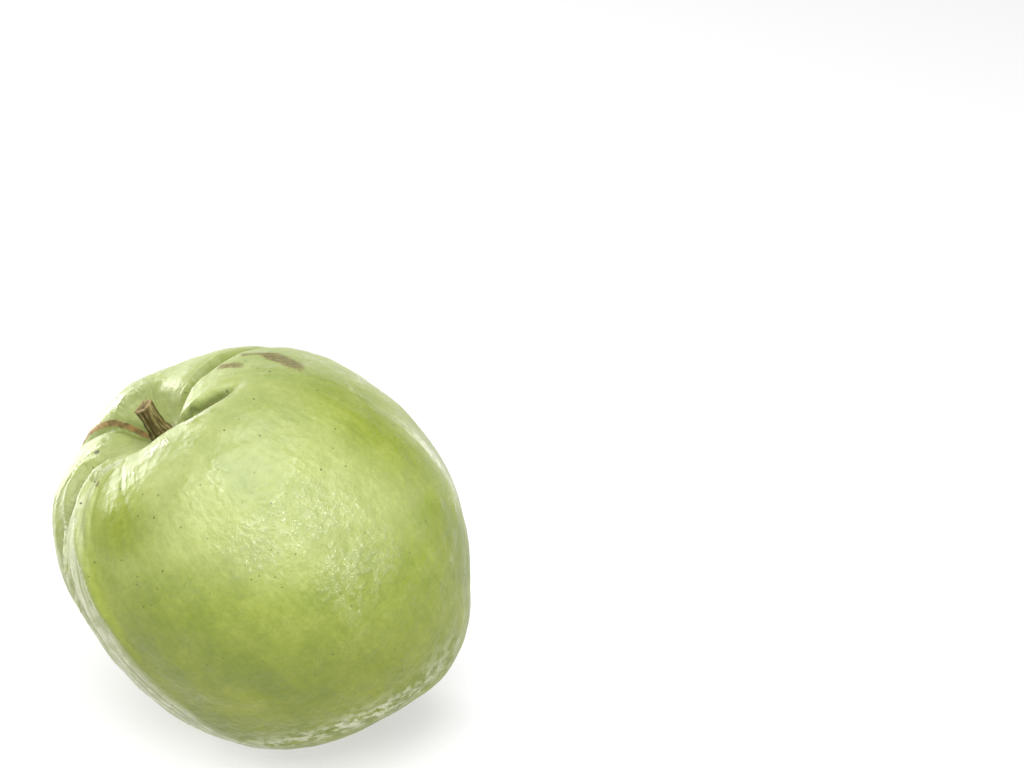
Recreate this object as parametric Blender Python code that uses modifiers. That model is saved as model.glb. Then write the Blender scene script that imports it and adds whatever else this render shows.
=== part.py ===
"""A large green guava at rest on its side, with its woody stem stub and dried calyx.

The fruit grew as one piece, so it is one body. The stem stub stands in the narrow cavity at
one end. At the other end five dried sepals stand round the calyx disc in a shallow pit.
Metres, +Z up. The origin is the middle of the small flat spot that the fruit rests on.

A place on the skin is given by its way and its turn. The way runs from -1 on the axis at the
stem, over the shoulder crest at 0 and the blossom crest at 1, to 2 on the axis at the calyx.
The turn is the angle about the fruit's axis in degrees.
"""
import math

import bmesh
import bpy
import numpy as np
from mathutils import Euler, Vector

# Body of the fruit, about its own axis
WIDEST_RADIUS = 0.0415
WIDEST_HEIGHT = 0.0051
SHOULDER_RADIUS = 0.0129
SHOULDER_HEIGHT = 0.0403
CAVITY_DEPTH = 0.0057
CAVITY_FLOOR_RADIUS = 0.0028
CAVITY_WALL_POWER = 0.8
BLOSSOM_RADIUS = 0.0120
BLOSSOM_HEIGHT = -0.0455
PIT_DEPTH = 0.0040
PIT_FLOOR_RADIUS = 0.0042
LOWER_FLANK_POWER = 1.06

# How it lies
LEAN = math.radians(34.5)
HEADING = math.radians(2.3)
SEAT_DEPTH = 0.0015

# Stem stub
STEM_LENGTH = 0.0086
STEM_RADIUS = 0.0020
STEM_FOOT_RADIUS = 0.0027
STEM_DISH_DEPTH = 0.0005
STEM_SIDEWAYS = math.radians(8.5)
STEM_SIDEWAYS_TURN = math.radians(-10.0)
STEM_CORNERS = 4
STEM_CORNER_SHARE = 0.07

# Calyx
DISC_RADIUS = 0.0024
DISC_THICKNESS = 0.0010
DISC_RIM_HEIGHT = 0.0004
SEPAL_COUNT = 5
SEPAL_CLEARANCE = 0.00065
SEPAL_WIDTH = 0.0027
SEPAL_THICKNESS = 0.0005
SEPAL_LENGTH = 0.0039
SEPAL_LENGTH_CHANGES = (0.0, -0.0005, 0.0003, -0.0007, 0.0001)
SEPAL_LEANS = (0.0013, 0.0017, 0.0010, 0.0014, 0.0018)

FIT_GAP = 0.0003

# Folds in the skin: name, depth, half width, and the way and turn along its line
FOLDS = (
    ("corky groove", 0.0022, 0.0020,
     ((-0.85, 128), (-0.5, 124), (-0.2, 125), (0.0, 131), (0.07, 142), (0.16, 147), (0.34, 150))),
    ("short fold beside the stem", 0.0024, 0.0019,
     ((-0.7, -75), (-0.2, -52), (0.01, -43), (0.05, -32), (0.09, -22), (0.14, -12))),
    ("long fold over the top", 0.0030, 0.0022,
     ((-0.8, 10), (-0.4, 12), (-0.05, 19), (0.05, 23), (0.13, 27), (0.24, 32), (0.4, 36))),
    ("fold down the side", 0.0016, 0.0026,
     ((-0.6, -175), (-0.1, -166), (0.1, -163), (0.3, -163), (0.55, -166), (0.85, -172))),
)

# Broad swellings and hollows: way, turn, height, spread along the way, spread about the axis
SWELLINGS = (
    ("stem cavity's far lobe", 0.10, 120, 0.0011, 0.12, 28),
    ("far lobe's crest", 0.02, 100, 0.0022, 0.08, 25),
    ("lobe beside the groove", 0.20, 160, 0.0011, 0.12, 25),
    ("rib down the side", 0.25, -140, 0.0016, 0.22, 9),
    ("waist of that side", 0.42, -160, -0.0014, 0.14, 25),
    ("hollow behind the long fold", 0.20, 45, -0.0008, 0.12, 30),
    ("far shoulder", 0.60, 0, 0.0029, 0.14, 30),
    ("corner by the blossom end", 0.88, -30, 0.0026, 0.12, 35),
    ("hollow by the blossom end", 0.80, -100, -0.0016, 0.15, 35),
    ("underside that it rests on", 0.72, 180, 0.0009, 0.13, 32),
    ("far side of the blossom end", 0.82, 20, 0.0014, 0.14, 35),
    ("lower belly", 0.72, -60, 0.0010, 0.12, 28),
)

TURNS = 90
CAVITY_RINGS = 8
SHOULDER_RINGS = 9
FLANK_RINGS = 20
PIT_RINGS = 6
SHOULDER_WAY = 0.2
FOLD_SAMPLES = 80
FOLD_FADE_IN = 0.2
FOLD_FADE_OUT = 0.35


def clear_scene():
    """Remove every object that the new file came with."""
    for thing in list(bpy.data.objects):
        bpy.data.objects.remove(thing, do_unlink=True)


def new_collection(name):
    group = bpy.data.collections.new(name)
    bpy.context.scene.collection.children.link(group)
    return group


def new_material(name, colour, roughness):
    """A Principled material of one colour."""
    material = bpy.data.materials.new(name)
    material.use_nodes = True
    shader = material.node_tree.nodes["Principled BSDF"]
    shader.inputs["Base Color"].default_value = (*colour, 1.0)
    shader.inputs["Roughness"].default_value = roughness
    shader.inputs["Metallic"].default_value = 0.0
    material.diffuse_color = (*colour, 1.0)
    return material


def new_object(name, bm, group, parent, colour, roughness):
    """Turn a bmesh into a smooth-shaded object with a material of its own."""
    bmesh.ops.recalc_face_normals(bm, faces=bm.faces)
    mesh = bpy.data.meshes.new(name)
    bm.to_mesh(mesh)
    bm.free()
    mesh.shade_smooth()
    thing = bpy.data.objects.new(name, mesh)
    thing.parent = parent
    mesh.materials.append(new_material(name, colour, roughness))
    group.objects.link(thing)
    return thing


def ease(share):
    """Run smoothly from 0 to 1 as the share does, and stay level outside."""
    return (1.0 - np.cos(np.pi * np.clip(share, 0.0, 1.0))) / 2.0


def skin_profile(way):
    """Radius and height of the plain body at each way."""
    way = np.asarray(way, dtype=float)

    cavity_radius = np.clip(way + 1.0, 0.0, 1.0) * SHOULDER_RADIUS
    cavity_share = (cavity_radius - CAVITY_FLOOR_RADIUS) / (SHOULDER_RADIUS - CAVITY_FLOOR_RADIUS)
    cavity_rise = ease(cavity_share) ** CAVITY_WALL_POWER
    cavity_height = SHOULDER_HEIGHT - CAVITY_DEPTH * (1.0 - cavity_rise)

    upper = np.pi * np.clip(way, 0.0, 0.5)
    upper_radius = SHOULDER_RADIUS + (WIDEST_RADIUS - SHOULDER_RADIUS) * np.sin(upper)
    upper_height = WIDEST_HEIGHT + (SHOULDER_HEIGHT - WIDEST_HEIGHT) * np.cos(upper)

    lower = np.pi * (np.clip(way, 0.5, 1.0) - 0.5)
    lower_share = np.clip(np.cos(lower), 0.0, 1.0) ** LOWER_FLANK_POWER
    lower_radius = BLOSSOM_RADIUS + (WIDEST_RADIUS - BLOSSOM_RADIUS) * lower_share
    lower_height = WIDEST_HEIGHT + (BLOSSOM_HEIGHT - WIDEST_HEIGHT) * np.sin(lower)

    pit_radius = np.clip(2.0 - way, 0.0, 1.0) * BLOSSOM_RADIUS
    pit_share = (pit_radius - PIT_FLOOR_RADIUS) / (BLOSSOM_RADIUS - PIT_FLOOR_RADIUS)
    pit_height = BLOSSOM_HEIGHT + PIT_DEPTH * (1.0 - ease(pit_share))

    stretches = [way < 0.0, way <= 0.5, way <= 1.0]
    radius = np.select(stretches, [cavity_radius, upper_radius, lower_radius], pit_radius)
    height = np.select(stretches, [cavity_height, upper_height, lower_height], pit_height)
    return radius, height


def skin_point(way, turn):
    """Points of the plain body."""
    radius, height = skin_profile(way)
    angle = np.radians(turn)
    return np.stack([radius * np.cos(angle), radius * np.sin(angle), height], axis=-1)


def skin_normal(way, turn):
    """Outward directions of the plain body."""
    step = 0.001
    before_radius, before_height = skin_profile(np.maximum(way - step, -1.0))
    after_radius, after_height = skin_profile(np.minimum(way + step, 2.0))
    out = before_height - after_height
    up = after_radius - before_radius
    length = np.hypot(out, up)
    angle = np.radians(turn)
    return np.stack([out * np.cos(angle), out * np.sin(angle), up], axis=-1) / length[:, None]


def swelling_lift(way, turn):
    """How far the broad swellings push each place of the skin outward."""
    lift = np.zeros(len(way))
    for _, middle_way, middle_turn, height, way_spread, turn_spread in SWELLINGS:
        turn_gap = (turn - middle_turn + 180.0) % 360.0 - 180.0
        far = (turn_gap / turn_spread) ** 2 + ((way - middle_way) / way_spread) ** 2
        lift += height * np.exp(-far)
    return lift


def fold_depth(points):
    """How deep the folds are at each point, deepest along their lines."""
    depth = np.zeros(len(points))
    along = np.linspace(0.0, 1.0, FOLD_SAMPLES)
    fade = ease(along / FOLD_FADE_IN) * ease((1.0 - along) / FOLD_FADE_OUT)
    for _, deepest, half_width, path in FOLDS:
        stations = np.linspace(0.0, 1.0, len(path))
        line_way = np.interp(along, stations, [way for way, _ in path])
        line_turn = np.interp(along, stations, [turn for _, turn in path])
        line = skin_point(line_way, line_turn)
        distance = np.linalg.norm(points[:, None, :] - line[None, :, :], axis=2)
        nearest = distance.argmin(axis=1)
        closest = distance.min(axis=1)
        depth += deepest * np.exp(-(closest / half_width) ** 2) * fade[nearest]
    return depth


def ring_ways():
    """The way of every ring of the skin, from one pole to the other."""
    return np.concatenate([
        np.linspace(-1.0, 0.0, CAVITY_RINGS, endpoint=False),
        np.linspace(0.0, SHOULDER_WAY, SHOULDER_RINGS, endpoint=False),
        np.linspace(SHOULDER_WAY, 1.0, FLANK_RINGS, endpoint=False),
        np.linspace(1.0, 2.0, PIT_RINGS),
    ])


def add_fruit(group, axis):
    """The whole fruit, a ball whose rings are moved onto the guava's form."""
    ways = ring_ways()
    steps = len(ways) - 1
    bm = bmesh.new()
    bmesh.ops.create_uvsphere(bm, u_segments=TURNS, v_segments=steps, radius=1.0)
    ball = np.array([vert.co for vert in bm.verts])
    ring = np.rint(np.arccos(np.clip(ball[:, 2], -1.0, 1.0)) / np.pi * steps).astype(int)
    way = ways[ring]
    turn = np.degrees(np.arctan2(ball[:, 1], ball[:, 0]))
    plain = skin_point(way, turn)
    lift = swelling_lift(way, turn) - fold_depth(plain)
    shaped = plain + skin_normal(way, turn) * lift[:, None]
    for vert, place in zip(bm.verts, shaped):
        vert.co = Vector(place)
    return new_object("fruit", bm, group, axis, (0.38, 0.52, 0.10), 0.35)


def seat_offset(fruit):
    """Where the axis stands so that the resting flat's middle is the origin."""
    turned = Euler((0.0, -LEAN, HEADING)).to_matrix()
    places = [turned @ vert.co for vert in fruit.data.vertices]
    level = min(place.z for place in places) + SEAT_DEPTH
    crossings = []
    for edge in fruit.data.edges:
        start, end = (places[index] for index in edge.vertices)
        if (start.z < level) != (end.z < level):
            share = (level - start.z) / (end.z - start.z)
            crossings.append(start.lerp(end, share))
    middle_x = (min(p.x for p in crossings) + max(p.x for p in crossings)) / 2
    middle_y = (min(p.y for p in crossings) + max(p.y for p in crossings)) / 2
    return Vector((-middle_x, -middle_y, -level))


def cut_seat(fruit, cutters):
    """Take off the small flat spot that the fruit rests on."""
    side = 2 * WIDEST_RADIUS
    bm = bmesh.new()
    bmesh.ops.create_cube(bm, size=side)
    mesh = bpy.data.meshes.new("table_cutter")
    bm.to_mesh(mesh)
    bm.free()
    table = bpy.data.objects.new("table_cutter", mesh)
    table.location = (0.0, 0.0, -side / 2)
    table.hide_render = True
    table.display_type = "WIRE"
    cutters.objects.link(table)
    cut = fruit.modifiers.new("resting flat", "BOOLEAN")
    cut.operation = "DIFFERENCE"
    cut.solver = "EXACT"
    cut.object = table


def turned_body(outline, sides):
    """A closed body turned about +Z from an outline that starts and ends on the axis."""
    bm = bmesh.new()
    verts = [bm.verts.new((radius, 0.0, height)) for radius, height in outline]
    edges = [bm.edges.new(pair) for pair in zip(verts, verts[1:])]
    bmesh.ops.spin(bm, geom=verts + edges, cent=(0.0, 0.0, 0.0), axis=(0.0, 0.0, 1.0),
                   angle=2 * math.pi, steps=sides, use_merge=True)
    bmesh.ops.remove_doubles(bm, verts=bm.verts, dist=1e-7)
    return bm


def add_stem(group, axis):
    """The stem stub: a squarish, slightly bent peg with a broken, dished end."""
    foot = SHOULDER_HEIGHT - CAVITY_DEPTH + FIT_GAP
    outline = (
        (0.0, STEM_LENGTH - STEM_DISH_DEPTH),
        (0.6 * STEM_RADIUS, STEM_LENGTH - 0.8 * STEM_DISH_DEPTH),
        (0.88 * STEM_RADIUS, STEM_LENGTH),
        (1.03 * STEM_RADIUS, STEM_LENGTH - 0.6 * STEM_DISH_DEPTH),
        (STEM_RADIUS, 0.75 * STEM_LENGTH),
        (STEM_RADIUS, 0.5 * STEM_LENGTH),
        (1.08 * STEM_RADIUS, 0.3 * STEM_LENGTH),
        (0.94 * STEM_FOOT_RADIUS, 0.12 * STEM_LENGTH),
        (STEM_FOOT_RADIUS, 0.04 * STEM_LENGTH),
        (0.95 * STEM_FOOT_RADIUS, 0.0),
        (0.0, 0.0),
    )
    bm = turned_body(outline, 24)
    for vert in bm.verts:
        rise = vert.co.z
        around = math.atan2(vert.co.y, vert.co.x)
        up_share = rise / STEM_LENGTH
        corner = 1.0 + STEM_CORNER_SHARE * up_share * math.cos(STEM_CORNERS * around)
        sideways = rise * math.tan(STEM_SIDEWAYS)
        vert.co.x = vert.co.x * corner + sideways * math.cos(STEM_SIDEWAYS_TURN)
        vert.co.y = vert.co.y * corner + sideways * math.sin(STEM_SIDEWAYS_TURN)
    stem = new_object("stem", bm, group, axis, (0.24, 0.17, 0.06), 0.8)
    stem.location = (0.0, 0.0, foot)
    return stem


def pit_floor():
    """Height of the calyx pit's floor on the fruit's axis."""
    return BLOSSOM_HEIGHT + PIT_DEPTH


def sepal_ring_radius():
    """Radius of the sepals' middle layer at their feet, clear of the disc."""
    return DISC_RADIUS + SEPAL_CLEARANCE + SEPAL_THICKNESS / 2


def add_calyx_disc(group, axis):
    """The dark disc in the middle of the calyx, dished, with a low rim."""
    outline = (
        (0.0, 0.0),
        (0.9 * DISC_RADIUS, 0.0),
        (DISC_RADIUS, -0.3 * DISC_THICKNESS),
        (0.96 * DISC_RADIUS, -DISC_THICKNESS - 0.5 * DISC_RIM_HEIGHT),
        (0.8 * DISC_RADIUS, -DISC_THICKNESS - DISC_RIM_HEIGHT),
        (0.5 * DISC_RADIUS, -DISC_THICKNESS),
        (0.2 * DISC_RADIUS, -DISC_THICKNESS),
        (0.0, -DISC_THICKNESS - DISC_RIM_HEIGHT),
    )
    disc = new_object("calyx_disc", turned_body(outline, 20), group, axis,
                      (0.06, 0.035, 0.018), 0.85)
    disc.location = (0.0, 0.0, pit_floor() - FIT_GAP)
    return disc


def add_sepal(number, group, axis):
    """One dried sepal: a thin cupped tongue that stands in the pit and leans inward."""
    length = SEPAL_LENGTH + SEPAL_LENGTH_CHANGES[number]
    lean = SEPAL_LEANS[number]
    bm = bmesh.new()
    bmesh.ops.create_grid(bm, x_segments=4, y_segments=7, size=0.5)
    for vert in bm.verts:
        across = 2.0 * vert.co.x
        along = vert.co.y + 0.5
        half_width = 0.5 * SEPAL_WIDTH * (1.0 - 0.75 * along ** 1.5)
        cup = 0.12 * SEPAL_WIDTH * across ** 2 * (1.0 - along)
        vert.co.x = sepal_ring_radius() - lean * along ** 2 - cup
        vert.co.y = across * half_width
        vert.co.z = -length * along
    sepal = new_object(f"sepal_{number + 1}", bm, group, axis,
                       (0.09 + 0.008 * number, 0.05 + 0.004 * number, 0.022), 0.85)
    sepal.location = (0.0, 0.0, pit_floor() - FIT_GAP)
    sepal.rotation_euler = (0.0, 0.0, 2 * math.pi * number / SEPAL_COUNT)
    shell = sepal.modifiers.new("thickness", "SOLIDIFY")
    shell.thickness = SEPAL_THICKNESS
    shell.offset = 0.0
    return sepal


def main():
    clear_scene()
    guava = new_collection("guava")
    cutters = new_collection("cutters")
    axis = bpy.data.objects.new("fruit_axis", None)
    axis.rotation_euler = (0.0, -LEAN, HEADING)
    guava.objects.link(axis)
    fruit = add_fruit(guava, axis)
    axis.location = seat_offset(fruit)
    cut_seat(fruit, cutters)
    add_stem(guava, axis)
    add_calyx_disc(guava, axis)
    for number in range(SEPAL_COUNT):
        add_sepal(number, guava, axis)


main()
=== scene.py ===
"""The looks of one large green guava that lies on a pale studio floor.

The fruit's skin, the stem stub and the calyx are modelled again here at full detail, over the
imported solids, and dressed in procedural materials. All sizes are in metres, in the row frame.

A place on the skin is given by its way and its turn. The way runs from -1 on the axis at the
stem, over the shoulder crest at 0 and the blossom crest at 1, to 2 on the axis at the calyx.
The turn is the angle about the fruit's axis in degrees.
"""
import logging
import math
from dataclasses import dataclass, field
from enum import Enum
from typing import Any, Sequence

import bmesh
import bpy
import numpy as np
from mathutils import Euler, Matrix, Vector, noise


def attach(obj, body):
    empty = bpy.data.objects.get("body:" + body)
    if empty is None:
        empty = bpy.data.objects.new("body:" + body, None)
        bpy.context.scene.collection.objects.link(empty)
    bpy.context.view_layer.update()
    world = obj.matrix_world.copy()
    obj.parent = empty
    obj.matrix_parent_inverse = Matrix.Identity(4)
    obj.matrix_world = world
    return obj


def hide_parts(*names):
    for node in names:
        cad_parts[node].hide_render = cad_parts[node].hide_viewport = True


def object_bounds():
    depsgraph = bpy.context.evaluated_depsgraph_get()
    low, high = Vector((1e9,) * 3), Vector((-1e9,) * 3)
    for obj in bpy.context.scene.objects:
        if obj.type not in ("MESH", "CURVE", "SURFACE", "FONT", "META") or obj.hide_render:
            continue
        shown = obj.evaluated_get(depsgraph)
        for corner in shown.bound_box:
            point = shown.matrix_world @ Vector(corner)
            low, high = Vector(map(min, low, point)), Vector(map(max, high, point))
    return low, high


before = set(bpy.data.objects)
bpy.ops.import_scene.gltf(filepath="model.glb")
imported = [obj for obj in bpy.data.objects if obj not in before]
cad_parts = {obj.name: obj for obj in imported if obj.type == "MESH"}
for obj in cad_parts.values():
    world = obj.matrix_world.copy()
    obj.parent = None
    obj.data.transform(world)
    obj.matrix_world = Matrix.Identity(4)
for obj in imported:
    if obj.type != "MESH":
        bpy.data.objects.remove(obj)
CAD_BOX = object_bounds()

LOG = logging.getLogger("guava")
MM = 0.001
Colour = tuple[float, float, float]
Path = tuple[tuple[float, float], ...]
Socket = bpy.types.NodeSocket


class Slot(Enum):
    """The record's material slots."""

    SKIN = "skin"
    STEM = "stem_bark"
    CALYX = "calyx"
    SEPAL = "sepal"


def paint(red: int, green: int, blue: int) -> Colour:
    """Turn a paint-chart colour of 0 to 255 a channel into a linear colour."""
    shares = [channel / 255 for channel in (red, green, blue)]
    return tuple(s / 12.92 if s <= 0.04045 else ((s + 0.055) / 1.055) ** 2.4 for s in shares)


def ease(share: np.ndarray) -> np.ndarray:
    """Run smoothly from 0 to 1 as the share does, and stay level outside."""
    return (1.0 - np.cos(np.pi * np.clip(share, 0.0, 1.0))) / 2.0


# --------------------------------------------------------------------------- shader helpers


class Value:
    """A number in a shader: sums and products of values add their Math nodes."""

    def __init__(self, board: "Board", socket: Socket) -> None:
        """Wrap one output socket of the board's tree."""
        self.board = board
        self.socket = socket

    def _math(self, operation: str, first: Any, second: Any) -> "Value":
        """Add one Math node and wrap its result."""
        node = self.board.add("ShaderNodeMath", {"operation": operation}, {0: first, 1: second})
        return Value(self.board, node.outputs[0])

    def __add__(self, other: Any) -> "Value":
        """Give the sum."""
        return self._math("ADD", self, other)

    def __radd__(self, other: Any) -> "Value":
        """Give the sum, the number first."""
        return self._math("ADD", other, self)

    def __sub__(self, other: Any) -> "Value":
        """Give the difference."""
        return self._math("SUBTRACT", self, other)

    def __mul__(self, other: Any) -> "Value":
        """Give the product."""
        return self._math("MULTIPLY", self, other)

    def most(self, other: Any) -> "Value":
        """Give the larger of the two."""
        return self._math("MAXIMUM", self, other)

    def band(self, low: float, high: float) -> "Value":
        """Run smoothly from 0 at low to 1 at high; low may be the larger.

        Args:
            low: The value that gives 0.
            high: The value that gives 1.

        Returns:
            The eased and clamped share.
        """
        settings = {"interpolation_type": "SMOOTHSTEP", "clamp": True}
        sockets = {0: self, 1: low, 2: high, 3: 0.0, 4: 1.0}
        node = self.board.add("ShaderNodeMapRange", settings, sockets)
        return Value(self.board, node.outputs[0])


class Board:
    """A material's node tree, with short ways to add what the finishes use."""

    def __init__(self, name: str) -> None:
        """Start a material with its Principled shader.

        Args:
            name: The material's name.
        """
        self.material = bpy.data.materials.new(name)
        self.material.use_nodes = True
        self.tree = self.material.node_tree
        self.shader = self.tree.nodes["Principled BSDF"]

    def add(self, kind: str, settings: dict[str, Any], sockets: dict[Any, Any]) -> bpy.types.Node:
        """Add one node.

        Args:
            kind: The node's type.
            settings: Its properties, set first; "stops" gives a ramp its colours.
            sockets: Its inputs by name or number, each a number, a colour or a link.

        Returns:
            The new node.
        """
        node = self.tree.nodes.new(kind)
        for key, setting in settings.items():
            if key == "stops":
                self._set_stops(node.color_ramp.elements, setting)
            else:
                setattr(node, key, setting)
        for key, given in sockets.items():
            self.feed(node.inputs[key], given)
        return node

    @staticmethod
    def _set_stops(elements: Any, stops: Sequence[tuple[float, Colour]]) -> None:
        """Give a ramp its stops in place of its own two.

        Args:
            elements: The ramp's stops, changed in place.
            stops: Their places and colours, in order.
        """
        while len(elements) < len(stops):
            elements.new(1.0)
        for element, (place, colour) in zip(elements, stops):
            element.position = place
            element.color = (*colour, 1.0)

    def feed(self, socket: Socket, given: Any) -> None:
        """Link a value or socket to an input, or set the number or colour that it holds.

        Args:
            socket: The socket.
            given: What it takes: a value, a link, a colour or a number.
        """
        if isinstance(given, Value):
            self.tree.links.new(given.socket, socket)
        elif isinstance(given, bpy.types.NodeSocket):
            self.tree.links.new(given, socket)
        elif isinstance(given, tuple) and socket.type == "RGBA":
            socket.default_value = (*given, 1.0)
        else:
            socket.default_value = given

    def dress(self, **inputs: Any) -> None:
        """Feed the Principled shader's inputs, named with underscores for spaces."""
        for name, given in inputs.items():
            self.feed(self.shader.inputs[name.replace("_", " ")], given)

    def number(self, name: str) -> Value:
        """Read a number that is stored on the piece."""
        node = self.add("ShaderNodeAttribute", {"attribute_name": name}, {})
        return Value(self, node.outputs["Fac"])

    def place(self, name: str) -> Socket:
        """Read a position that is stored on the piece."""
        return self.add("ShaderNodeAttribute", {"attribute_name": name}, {}).outputs["Vector"]

    def cloud(self, place: Socket, size: float, detail: float = 2.0,
              roughness: float = 0.5, distortion: float = 0.0) -> Value:
        """Add a noise.

        Args:
            place: Where on the piece it is read.
            size: The size of its blotches.
            detail: How many finer layers it has.
            roughness: How strong those are.
            distortion: How much it swirls.

        Returns:
            The noise, from 0 to 1.
        """
        sockets = {"Vector": place, "Scale": 1.0 / size, "Detail": detail,
                   "Roughness": roughness, "Distortion": distortion}
        return Value(self, self.add("ShaderNodeTexNoise", {}, sockets).outputs[0])

    def cells(self, place: Socket, size: float) -> tuple[Value, Value, Value]:
        """Add a cell pattern.

        Args:
            place: Where on the piece it is read.
            size: The size of its cells.

        Returns:
            How far each point is from its cell's middle, in cells, and two numbers from 0 to 1
            that are each cell's own.
        """
        node = self.add("ShaderNodeTexVoronoi", {"feature": "F1"},
                        {"Vector": place, "Scale": 1.0 / size})
        own = self.add("ShaderNodeSeparateColor", {}, {0: node.outputs["Color"]}).outputs
        return Value(self, node.outputs["Distance"]), Value(self, own[0]), Value(self, own[1])

    def blend(self, share: Any, first: Any, second: Any,
              way: str = "MIX") -> Socket:
        """Mix two colours.

        Args:
            share: How much of the second.
            first: A colour or a link.
            second: A colour or a link.
            way: The mixing rule.

        Returns:
            The mixed colour.
        """
        settings = {"data_type": "RGBA", "blend_type": way}
        node = self.add("ShaderNodeMix", settings, {0: share, 6: first, 7: second})
        return node.outputs[2]

    def raise_by(self, height: Value, depth: float,
                 under: Socket | None = None) -> Socket:
        """Bump the surface.

        Args:
            height: The relief, from 0 to 1.
            depth: How deep it is in metres.
            under: A coarser bump that this one lies on.

        Returns:
            The bumped normal.
        """
        sockets = {"Height": height, "Distance": depth, "Strength": 1.0}
        if under is not None:
            sockets["Normal"] = under
        return self.add("ShaderNodeBump", {}, sockets).outputs[0]


# --------------------------------------------------------------------------------- finishes


@dataclass(frozen=True)
class SkinFinish:
    """Waxy, glossy green skin: pores, dark specks, corky marks, fine wrinkles, painted shade and
    highlights.
    """

    deep: Colour = paint(120, 139, 40)
    middle: Colour = paint(137, 152, 56)
    pale: Colour = paint(154, 167, 80)
    # Painted highlight: the near-white laid on ribs, crests, glints, crinkles and the top.
    painted_highlight: Colour = paint(222, 222, 198)
    # Painted shade in the folds.
    groove: Colour = paint(108, 122, 40)
    speck: Colour = paint(62, 60, 24)
    # Painted shade in the creases.
    crease: Colour = paint(78, 90, 28)
    cork: Colour = paint(164, 128, 76)
    cork_dark: Colour = paint(98, 80, 40)
    scar: Colour = paint(86, 74, 32)
    scar_pale: Colour = paint(126, 113, 58)
    stain: Colour = paint(84, 70, 34)
    # Painted shade: this multiplies the green darker low down and on a few patches of the sides.
    underside: Colour = (0.66, 0.63, 0.05)
    blossom: Colour = paint(150, 140, 84)
    # How strongly the painted sheen, painted shade and painted highlights are laid on.
    top_sheen_share: float = 0.15
    fold_shade_share: float = 0.7
    crease_shade_share: float = 0.6
    rib_highlight_share: float = 0.75
    polish_highlight_share: float = 0.3
    glint_highlight_share: float = 0.14
    crinkle_highlight_share: float = 0.6
    speck_share: float = 0.92
    fleck_share: float = 0.7
    mark_share: float = 0.9
    scar_share: float = 0.85
    pore_spacing: float = 4.2 * MM
    fleck_spacing: float = 2.2 * MM
    pebble_size: float = 1.5 * MM
    crinkle_size: float = 2.6 * MM
    swell_depth: float = 0.6 * MM
    line_depth: float = 0.36 * MM
    pebble_depth: float = 0.60 * MM
    crinkle_depth: float = 0.6 * MM
    pore_depth: float = 0.05 * MM
    crust_depth: float = 0.35 * MM
    plain_roughness: float = 0.40
    bloom_roughness: float = 0.10
    glint_gloss: float = 0.32
    polish_gloss: float = 0.2
    cork_roughness: float = 0.3

    def colours(self, board: Board, body: Socket,
                flow: Socket, patch: Value) -> Socket:
        """Mottle the green, paint shade low down and in the folds and creases, paint a sheen on
        the top and highlights on ribs, crests, glints and crinkles, then lay the specks, cork and
        scars over it.

        Args:
            board: The material's board.
            body: Places in the fruit's own frame.
            flow: Places that run with the fruit's meridians.
            patch: Where the skin glints; a painted highlight is laid there.

        Returns:
            The skin's colour.
        """
        broad = board.cloud(body, 19 * MM, 3.0, 0.55, 0.4)
        middling = board.cloud(body, 5.5 * MM, 3.0, 0.6)
        fine = board.cloud(body, 1.3 * MM, 3.0, 0.6)
        streak = board.cloud(flow, 2.2 * MM, 3.0, 0.6)
        grainy = board.cloud(body, 0.5 * MM, 2.0, 0.6)
        tone = (broad * 0.38 + middling * 0.2 + fine * 0.18 + streak * 0.14
                + grainy * 0.1)
        ramp = board.add("ShaderNodeValToRGB", {"stops": (
            (0.40, self.deep), (0.5, self.middle), (0.61, self.pale))}, {0: tone})
        # Painted shade: the green is multiplied darker low down and in a few patches of the
        # sides, where less light falls.
        shaded = board.number("shaded")
        colour = board.blend(shaded, ramp.outputs[0], self.underside, "MULTIPLY")
        # Painted sheen: the top is veiled paler, as the overhead light's reflection would make
        # it.
        colour = board.blend(shaded.band(0.4, 0.0) * self.top_sheen_share, colour, self.painted_highlight)
        # Painted shade in the folds and the creases.
        fold_shade = board.number("fold").band(0.2, 1.1) * self.fold_shade_share
        colour = board.blend(fold_shade, colour, self.groove)
        creased = board.number("creased").band(0.1, 0.9) * self.crease_shade_share
        colour = board.blend(creased, colour, self.crease)
        # Painted highlight: white streaks behind the main rib, broken up along the meridians.
        broken = board.cloud(body, 3.5 * MM, 3.0, 0.6).band(0.38, 0.56) * 0.6 + 0.4
        streaked = board.cloud(flow, 1.7 * MM, 4.0, 0.7).band(0.34, 0.64) * broken
        rib_highlight = (streaked * 0.8 + 0.2) * board.number("ribbed_and_highlight")
        crinkled_and_highlight = board.cloud(body, self.crinkle_size, 4.0, 0.65).band(0.42, 0.60)
        # Painted highlights, in the same near-white, on the ribs, the rubbed crests, the glints
        # and the crinkles.
        for share in (rib_highlight * self.rib_highlight_share,
                      self.polish_and_highlight(board, body, flow) * self.polish_highlight_share,
                      patch * board.number("pebbled") * self.glint_highlight_share,
                      crinkled_and_highlight * board.number("crinkled_and_highlight") * self.crinkle_highlight_share):
            colour = board.blend(share, colour, self.painted_highlight)
        colour = board.blend(self.specks(board, body) * self.speck_share, colour, self.speck)
        return self.marks(board, body, colour)

    def polish_and_highlight(self, board: Board, body: Socket,
               flow: Socket) -> Value:
        """Say where a crest is rubbed to a high gloss and painted with a highlight, in streaks
        with crisp edges.

        Args:
            board: The material's board.
            body: Places in the fruit's own frame.
            flow: Places that run with the fruit's meridians.

        Returns:
            How glossy and highlighted each place is, from 0 to 1.
        """
        scuff = board.cloud(body, 1.3 * MM, 4.0, 0.7)
        streak = board.cloud(flow, 1.5 * MM, 2.0, 0.6)
        share = board.number("polished_and_highlight") + (scuff - 0.5) * 2.4 + (streak - 0.5) * 2.4
        return share.band(0.50, 0.60) * board.number("polished_and_highlight").band(0.10, 0.40)

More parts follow.
